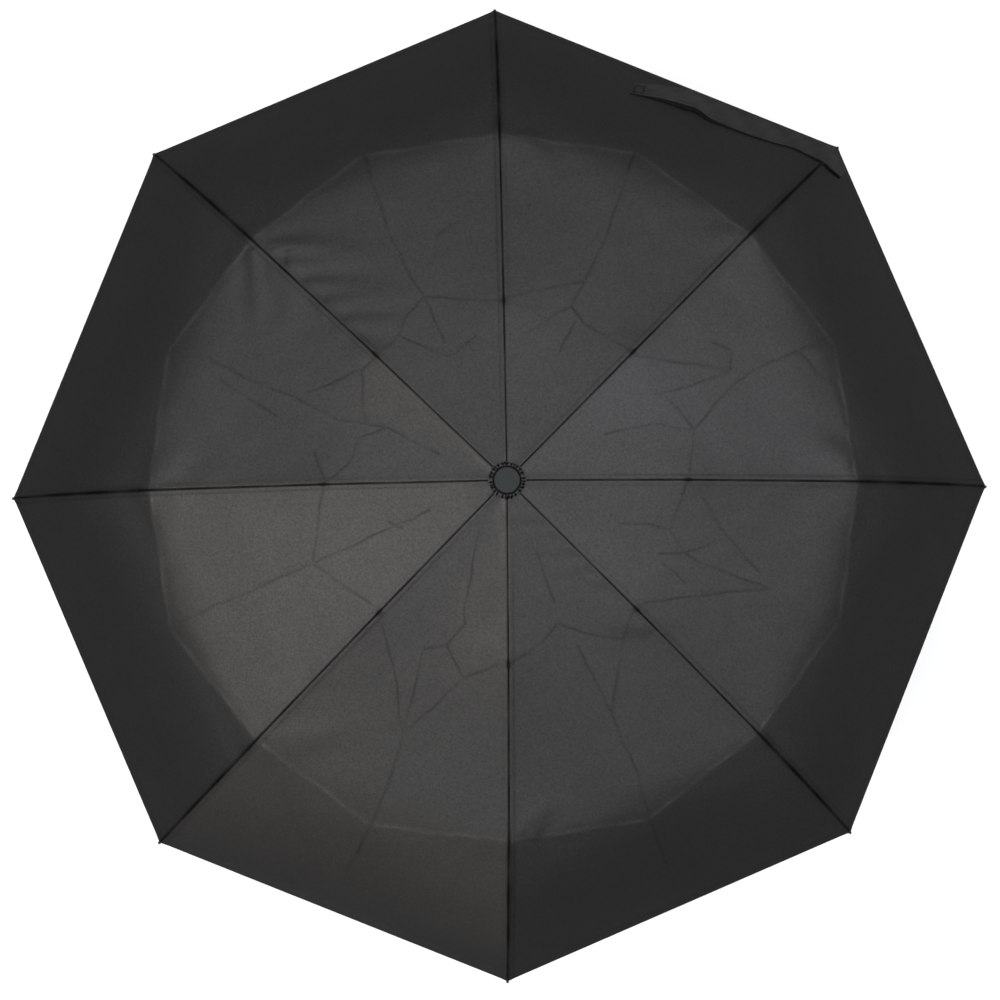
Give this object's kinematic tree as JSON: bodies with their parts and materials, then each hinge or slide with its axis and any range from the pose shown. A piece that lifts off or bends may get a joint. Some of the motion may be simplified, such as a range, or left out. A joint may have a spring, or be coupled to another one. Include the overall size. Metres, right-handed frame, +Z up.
{
  "type": "folding umbrella",
  "caption": "Open compact umbrella with a black octagonal canopy on jointed folding ribs, a sliding runner, a telescopic shaft and a short round handle.",
  "frame": {"origin": "centre of the handle's flat end", "axes": "+Z up the shaft from handle to cap; the ribs point along +X, +Y and every 45 degrees between"},
  "size_m": [0.9732, 0.9732, 0.5894],
  "materials": {
    "canopy_cloth": "black woven polyester with a faint sheen",
    "painted_steel": "black enamelled steel channel, satin",
    "fibreglass": "black glass-fibre rod",
    "bare_steel": "bright drawn steel",
    "black_plastic": "moulded plastic with a fine matt grain",
    "soft_grip": "soft-touch rubberised coating"
  },
  "bodies": {
    "handle": {"handle_grip": "soft_grip", "handle_core": "black_plastic", "handle_pin": "bare_steel", "end_cap": "black_plastic", "lower_tube": "bare_steel", "lower_tube_collar": "black_plastic"},
    "middle_tube": {"middle_tube": "bare_steel", "middle_tube_collar": "black_plastic", "middle_tube_bush": "black_plastic"},
    "upper_tube": {"upper_tube": "bare_steel", "upper_tube_bush": "black_plastic", "crown": "black_plastic", "crown_wire": "bare_steel", "cloth_washer": "canopy_cloth", "top_cap": "black_plastic", "canopy": "canopy_cloth"},
    "runner": {"runner": "black_plastic", "runner_wire": "bare_steel"},
    "runner_catch": {"runner_catch": "bare_steel"},
    "top_rib_0": {"top_rib_0": "painted_steel"},
    "strut_0": {"strut_0": "painted_steel"},
    "middle_rib_0": {"middle_rib_0": "painted_steel"},
    "outer_rib_0": {"outer_rib_0": "fibreglass"},
    "fold_link_0": {"fold_link_0": "bare_steel"},
    "top_rib_1": {"top_rib_1": "painted_steel"},
    "strut_1": {"strut_1": "painted_steel"},
    "middle_rib_1": {"middle_rib_1": "painted_steel"},
    "outer_rib_1": {"outer_rib_1": "fibreglass", "tie_strap": "canopy_cloth"},
    "fold_link_1": {"fold_link_1": "bare_steel"},
    "top_rib_2": {"top_rib_2": "painted_steel"},
    "strut_2": {"strut_2": "painted_steel"},
    "middle_rib_2": {"middle_rib_2": "painted_steel"},
    "outer_rib_2": {"outer_rib_2": "fibreglass"},
    "fold_link_2": {"fold_link_2": "bare_steel"},
    "top_rib_3": {"top_rib_3": "painted_steel"},
    "strut_3": {"strut_3": "painted_steel"},
    "middle_rib_3": {"middle_rib_3": "painted_steel"},
    "outer_rib_3": {"outer_rib_3": "fibreglass"},
    "fold_link_3": {"fold_link_3": "bare_steel"},
    "top_rib_4": {"top_rib_4": "painted_steel"},
    "strut_4": {"strut_4": "painted_steel"},
    "middle_rib_4": {"middle_rib_4": "painted_steel"},
    "outer_rib_4": {"outer_rib_4": "fibreglass"},
    "fold_link_4": {"fold_link_4": "bare_steel"},
    "top_rib_5": {"top_rib_5": "painted_steel"},
    "strut_5": {"strut_5": "painted_steel"},
    "middle_rib_5": {"middle_rib_5": "painted_steel"},
    "outer_rib_5": {"outer_rib_5": "fibreglass"},
    "fold_link_5": {"fold_link_5": "bare_steel"},
    "top_rib_6": {"top_rib_6": "painted_steel"},
    "strut_6": {"strut_6": "painted_steel"},
    "middle_rib_6": {"middle_rib_6": "painted_steel"},
    "outer_rib_6": {"outer_rib_6": "fibreglass"},
    "fold_link_6": {"fold_link_6": "bare_steel"},
    "top_rib_7": {"top_rib_7": "painted_steel"},
    "strut_7": {"strut_7": "painted_steel"},
    "middle_rib_7": {"middle_rib_7": "painted_steel"},
    "outer_rib_7": {"outer_rib_7": "fibreglass"},
    "fold_link_7": {"fold_link_7": "bare_steel"}
  },
  "joints": [
    {"name": "middle_tube_slide", "type": "slide", "parent": "handle", "child": "middle_tube", "axis": [0, 0, -1], "range_m": [0, 0.149]},
    {"name": "upper_tube_slide", "type": "slide", "parent": "middle_tube", "child": "upper_tube", "axis": [0, 0, -1], "range_m": [0, 0.155]},
    {"name": "runner_slide", "type": "slide", "parent": "upper_tube", "child": "runner", "axis": [0, 0, -1], "range_m": [0, 0.12664], "deforming": ["canopy", "tie_strap"]},
    {"name": "catch_press", "type": "slide", "parent": "upper_tube", "child": "runner_catch", "axis": [-0.9239, -0.3827, 0], "range_m": [0, 0.00085], "stiffness_N_per_m": 600, "springref_m": -0.0008},
    {"name": "crown_hinge_0", "type": "hinge", "parent": "upper_tube", "child": "top_rib_0", "pos_m": [0.012, 0, 0.577], "axis": [0, -1, 0], "range_deg": [-76.01, 0]},
    {"name": "strut_hinge_0", "type": "hinge", "parent": "top_rib_0", "child": "strut_0", "pos_m": [0.09025, 0, 0.56037], "axis": [0, -1, 0], "range_deg": [0, 152.01]},
    {"name": "first_knuckle_0", "type": "hinge", "parent": "top_rib_0", "child": "middle_rib_0", "pos_m": [0.16961, 0, 0.54892], "axis": [0, -1, 0], "range_deg": [0, 190.01]},
    {"name": "second_knuckle_0", "type": "hinge", "parent": "middle_rib_0", "child": "outer_rib_0", "pos_m": [0.33641, 0, 0.47592], "axis": [0, -1, 0], "range_deg": [-162.01, 0]},
    {"name": "link_hinge_0", "type": "hinge", "parent": "strut_0", "child": "fold_link_0", "pos_m": [0.08145, 0, 0.5585], "axis": [0, -1, 0], "range_deg": [-149.88, 0]},
    {"name": "crown_hinge_1", "type": "hinge", "parent": "upper_tube", "child": "top_rib_1", "pos_m": [0.00849, 0.00849, 0.577], "axis": [0.7071, -0.7071, 0], "range_deg": [-76.01, 0]},
    {"name": "strut_hinge_1", "type": "hinge", "parent": "top_rib_1", "child": "strut_1", "pos_m": [0.06382, 0.06382, 0.56037], "axis": [0.7071, -0.7071, 0], "range_deg": [0, 152.01]},
    {"name": "first_knuckle_1", "type": "hinge", "parent": "top_rib_1", "child": "middle_rib_1", "pos_m": [0.11993, 0.11993, 0.54892], "axis": [0.7071, -0.7071, 0], "range_deg": [0, 190.01]},
    {"name": "second_knuckle_1", "type": "hinge", "parent": "middle_rib_1", "child": "outer_rib_1", "pos_m": [0.23787, 0.23787, 0.47592], "axis": [0.7071, -0.7071, 0], "range_deg": [-162.01, 0]},
    {"name": "link_hinge_1", "type": "hinge", "parent": "strut_1", "child": "fold_link_1", "pos_m": [0.05759, 0.05759, 0.5585], "axis": [0.7071, -0.7071, 0], "range_deg": [-149.88, 0]},
    {"name": "crown_hinge_2", "type": "hinge", "parent": "upper_tube", "child": "top_rib_2", "pos_m": [0, 0.012, 0.577], "axis": [1, 0, 0], "range_deg": [-76.01, 0]},
    {"name": "strut_hinge_2", "type": "hinge", "parent": "top_rib_2", "child": "strut_2", "pos_m": [0, 0.09025, 0.56037], "axis": [1, 0, 0], "range_deg": [0, 152.01]},
    {"name": "first_knuckle_2", "type": "hinge", "parent": "top_rib_2", "child": "middle_rib_2", "pos_m": [0, 0.16961, 0.54892], "axis": [1, 0, 0], "range_deg": [0, 190.01]},
    {"name": "second_knuckle_2", "type": "hinge", "parent": "middle_rib_2", "child": "outer_rib_2", "pos_m": [0, 0.33641, 0.47592], "axis": [1, 0, 0], "range_deg": [-162.01, 0]},
    {"name": "link_hinge_2", "type": "hinge", "parent": "strut_2", "child": "fold_link_2", "pos_m": [0, 0.08145, 0.5585], "axis": [1, 0, 0], "range_deg": [-149.88, 0]},
    {"name": "crown_hinge_3", "type": "hinge", "parent": "upper_tube", "child": "top_rib_3", "pos_m": [-0.00849, 0.00849, 0.577], "axis": [0.7071, 0.7071, 0], "range_deg": [-76.01, 0]},
    {"name": "strut_hinge_3", "type": "hinge", "parent": "top_rib_3", "child": "strut_3", "pos_m": [-0.06382, 0.06382, 0.56037], "axis": [0.7071, 0.7071, 0], "range_deg": [0, 152.01]},
    {"name": "first_knuckle_3", "type": "hinge", "parent": "top_rib_3", "child": "middle_rib_3", "pos_m": [-0.11993, 0.11993, 0.54892], "axis": [0.7071, 0.7071, 0], "range_deg": [0, 190.01]},
    {"name": "second_knuckle_3", "type": "hinge", "parent": "middle_rib_3", "child": "outer_rib_3", "pos_m": [-0.23787, 0.23787, 0.47592], "axis": [0.7071, 0.7071, 0], "range_deg": [-162.01, 0]},
    {"name": "link_hinge_3", "type": "hinge", "parent": "strut_3", "child": "fold_link_3", "pos_m": [-0.05759, 0.05759, 0.5585], "axis": [0.7071, 0.7071, 0], "range_deg": [-149.88, 0]},
    {"name": "crown_hinge_4", "type": "hinge", "parent": "upper_tube", "child": "top_rib_4", "pos_m": [-0.012, 0, 0.577], "axis": [0, 1, 0], "range_deg": [-76.01, 0]},
    {"name": "strut_hinge_4", "type": "hinge", "parent": "top_rib_4", "child": "strut_4", "pos_m": [-0.09025, 0, 0.56037], "axis": [0, 1, 0], "range_deg": [0, 152.01]},
    {"name": "first_knuckle_4", "type": "hinge", "parent": "top_rib_4", "child": "middle_rib_4", "pos_m": [-0.16961, 0, 0.54892], "axis": [0, 1, 0], "range_deg": [0, 190.01]},
    {"name": "second_knuckle_4", "type": "hinge", "parent": "middle_rib_4", "child": "outer_rib_4", "pos_m": [-0.33641, 0, 0.47592], "axis": [0, 1, 0], "range_deg": [-162.01, 0]},
    {"name": "link_hinge_4", "type": "hinge", "parent": "strut_4", "child": "fold_link_4", "pos_m": [-0.08145, 0, 0.5585], "axis": [0, 1, 0], "range_deg": [-149.88, 0]},
    {"name": "crown_hinge_5", "type": "hinge", "parent": "upper_tube", "child": "top_rib_5", "pos_m": [-0.00849, -0.00849, 0.577], "axis": [-0.7071, 0.7071, 0], "range_deg": [-76.01, 0]},
    {"name": "strut_hinge_5", "type": "hinge", "parent": "top_rib_5", "child": "strut_5", "pos_m": [-0.06382, -0.06382, 0.56037], "axis": [-0.7071, 0.7071, 0], "range_deg": [0, 152.01]},
    {"name": "first_knuckle_5", "type": "hinge", "parent": "top_rib_5", "child": "middle_rib_5", "pos_m": [-0.11993, -0.11993, 0.54892], "axis": [-0.7071, 0.7071, 0], "range_deg": [0, 190.01]},
    {"name": "second_knuckle_5", "type": "hinge", "parent": "middle_rib_5", "child": "outer_rib_5", "pos_m": [-0.23787, -0.23787, 0.47592], "axis": [-0.7071, 0.7071, 0], "range_deg": [-162.01, 0]},
    {"name": "link_hinge_5", "type": "hinge", "parent": "strut_5", "child": "fold_link_5", "pos_m": [-0.05759, -0.05759, 0.5585], "axis": [-0.7071, 0.7071, 0], "range_deg": [-149.88, 0]},
    {"name": "crown_hinge_6", "type": "hinge", "parent": "upper_tube", "child": "top_rib_6", "pos_m": [0, -0.012, 0.577], "axis": [-1, 0, 0], "range_deg": [-76.01, 0]},
    {"name": "strut_hinge_6", "type": "hinge", "parent": "top_rib_6", "child": "strut_6", "pos_m": [0, -0.09025, 0.56037], "axis": [-1, 0, 0], "range_deg": [0, 152.01]},
    {"name": "first_knuckle_6", "type": "hinge", "parent": "top_rib_6", "child": "middle_rib_6", "pos_m": [0, -0.16961, 0.54892], "axis": [-1, 0, 0], "range_deg": [0, 190.01]},
    {"name": "second_knuckle_6", "type": "hinge", "parent": "middle_rib_6", "child": "outer_rib_6", "pos_m": [0, -0.33641, 0.47592], "axis": [-1, 0, 0], "range_deg": [-162.01, 0]},
    {"name": "link_hinge_6", "type": "hinge", "parent": "strut_6", "child": "fold_link_6", "pos_m": [0, -0.08145, 0.5585], "axis": [-1, 0, 0], "range_deg": [-149.88, 0]},
    {"name": "crown_hinge_7", "type": "hinge", "parent": "upper_tube", "child": "top_rib_7", "pos_m": [0.00849, -0.00849, 0.577], "axis": [-0.7071, -0.7071, 0], "range_deg": [-76.01, 0]},
    {"name": "strut_hinge_7", "type": "hinge", "parent": "top_rib_7", "child": "strut_7", "pos_m": [0.06382, -0.06382, 0.56037], "axis": [-0.7071, -0.7071, 0], "range_deg": [0, 152.01]},
    {"name": "first_knuckle_7", "type": "hinge", "parent": "top_rib_7", "child": "middle_rib_7", "pos_m": [0.11993, -0.11993, 0.54892], "axis": [-0.7071, -0.7071, 0], "range_deg": [0, 190.01]},
    {"name": "second_knuckle_7", "type": "hinge", "parent": "middle_rib_7", "child": "outer_rib_7", "pos_m": [0.23787, -0.23787, 0.47592], "axis": [-0.7071, -0.7071, 0], "range_deg": [-162.01, 0]},
    {"name": "link_hinge_7", "type": "hinge", "parent": "strut_7", "child": "fold_link_7", "pos_m": [0.05759, -0.05759, 0.5585], "axis": [-0.7071, -0.7071, 0], "range_deg": [-149.88, 0]}
  ],
  "couplings": [
    {"joint": "crown_hinge_0", "follows": "runner_slide", "rad_per_m": -10.474},
    {"joint": "strut_hinge_0", "follows": "runner_slide", "rad_per_m": 20.949},
    {"joint": "first_knuckle_0", "follows": "runner_slide", "rad_per_m": 26.186},
    {"joint": "second_knuckle_0", "follows": "runner_slide", "rad_per_m": -22.327},
    {"joint": "link_hinge_0", "follows": "runner_slide", "rad_per_m": -20.655},
    {"joint": "crown_hinge_1", "follows": "runner_slide", "rad_per_m": -10.474},
    {"joint": "strut_hinge_1", "follows": "runner_slide", "rad_per_m": 20.949},
    {"joint": "first_knuckle_1", "follows": "runner_slide", "rad_per_m": 26.186},
    {"joint": "second_knuckle_1", "follows": "runner_slide", "rad_per_m": -22.327},
    {"joint": "link_hinge_1", "follows": "runner_slide", "rad_per_m": -20.655},
    {"joint": "crown_hinge_2", "follows": "runner_slide", "rad_per_m": -10.474},
    {"joint": "strut_hinge_2", "follows": "runner_slide", "rad_per_m": 20.949},
    {"joint": "first_knuckle_2", "follows": "runner_slide", "rad_per_m": 26.186},
    {"joint": "second_knuckle_2", "follows": "runner_slide", "rad_per_m": -22.327},
    {"joint": "link_hinge_2", "follows": "runner_slide", "rad_per_m": -20.655},
    {"joint": "crown_hinge_3", "follows": "runner_slide", "rad_per_m": -10.474},
    {"joint": "strut_hinge_3", "follows": "runner_slide", "rad_per_m": 20.949},
    {"joint": "first_knuckle_3", "follows": "runner_slide", "rad_per_m": 26.186},
    {"joint": "second_knuckle_3", "follows": "runner_slide", "rad_per_m": -22.327},
    {"joint": "link_hinge_3", "follows": "runner_slide", "rad_per_m": -20.655},
    {"joint": "crown_hinge_4", "follows": "runner_slide", "rad_per_m": -10.474},
    {"joint": "strut_hinge_4", "follows": "runner_slide", "rad_per_m": 20.949},
    {"joint": "first_knuckle_4", "follows": "runner_slide", "rad_per_m": 26.186},
    {"joint": "second_knuckle_4", "follows": "runner_slide", "rad_per_m": -22.327},
    {"joint": "link_hinge_4", "follows": "runner_slide", "rad_per_m": -20.655},
    {"joint": "crown_hinge_5", "follows": "runner_slide", "rad_per_m": -10.474},
    {"joint": "strut_hinge_5", "follows": "runner_slide", "rad_per_m": 20.949},
    {"joint": "first_knuckle_5", "follows": "runner_slide", "rad_per_m": 26.186},
    {"joint": "second_knuckle_5", "follows": "runner_slide", "rad_per_m": -22.327},
    {"joint": "link_hinge_5", "follows": "runner_slide", "rad_per_m": -20.655},
    {"joint": "crown_hinge_6", "follows": "runner_slide", "rad_per_m": -10.474},
    {"joint": "strut_hinge_6", "follows": "runner_slide", "rad_per_m": 20.949},
    {"joint": "first_knuckle_6", "follows": "runner_slide", "rad_per_m": 26.186},
    {"joint": "second_knuckle_6", "follows": "runner_slide", "rad_per_m": -22.327},
    {"joint": "link_hinge_6", "follows": "runner_slide", "rad_per_m": -20.655},
    {"joint": "crown_hinge_7", "follows": "runner_slide", "rad_per_m": -10.474},
    {"joint": "strut_hinge_7", "follows": "runner_slide", "rad_per_m": 20.949},
    {"joint": "first_knuckle_7", "follows": "runner_slide", "rad_per_m": 26.186},
    {"joint": "second_knuckle_7", "follows": "runner_slide", "rad_per_m": -22.327},
    {"joint": "link_hinge_7", "follows": "runner_slide", "rad_per_m": -20.655}
  ]
}
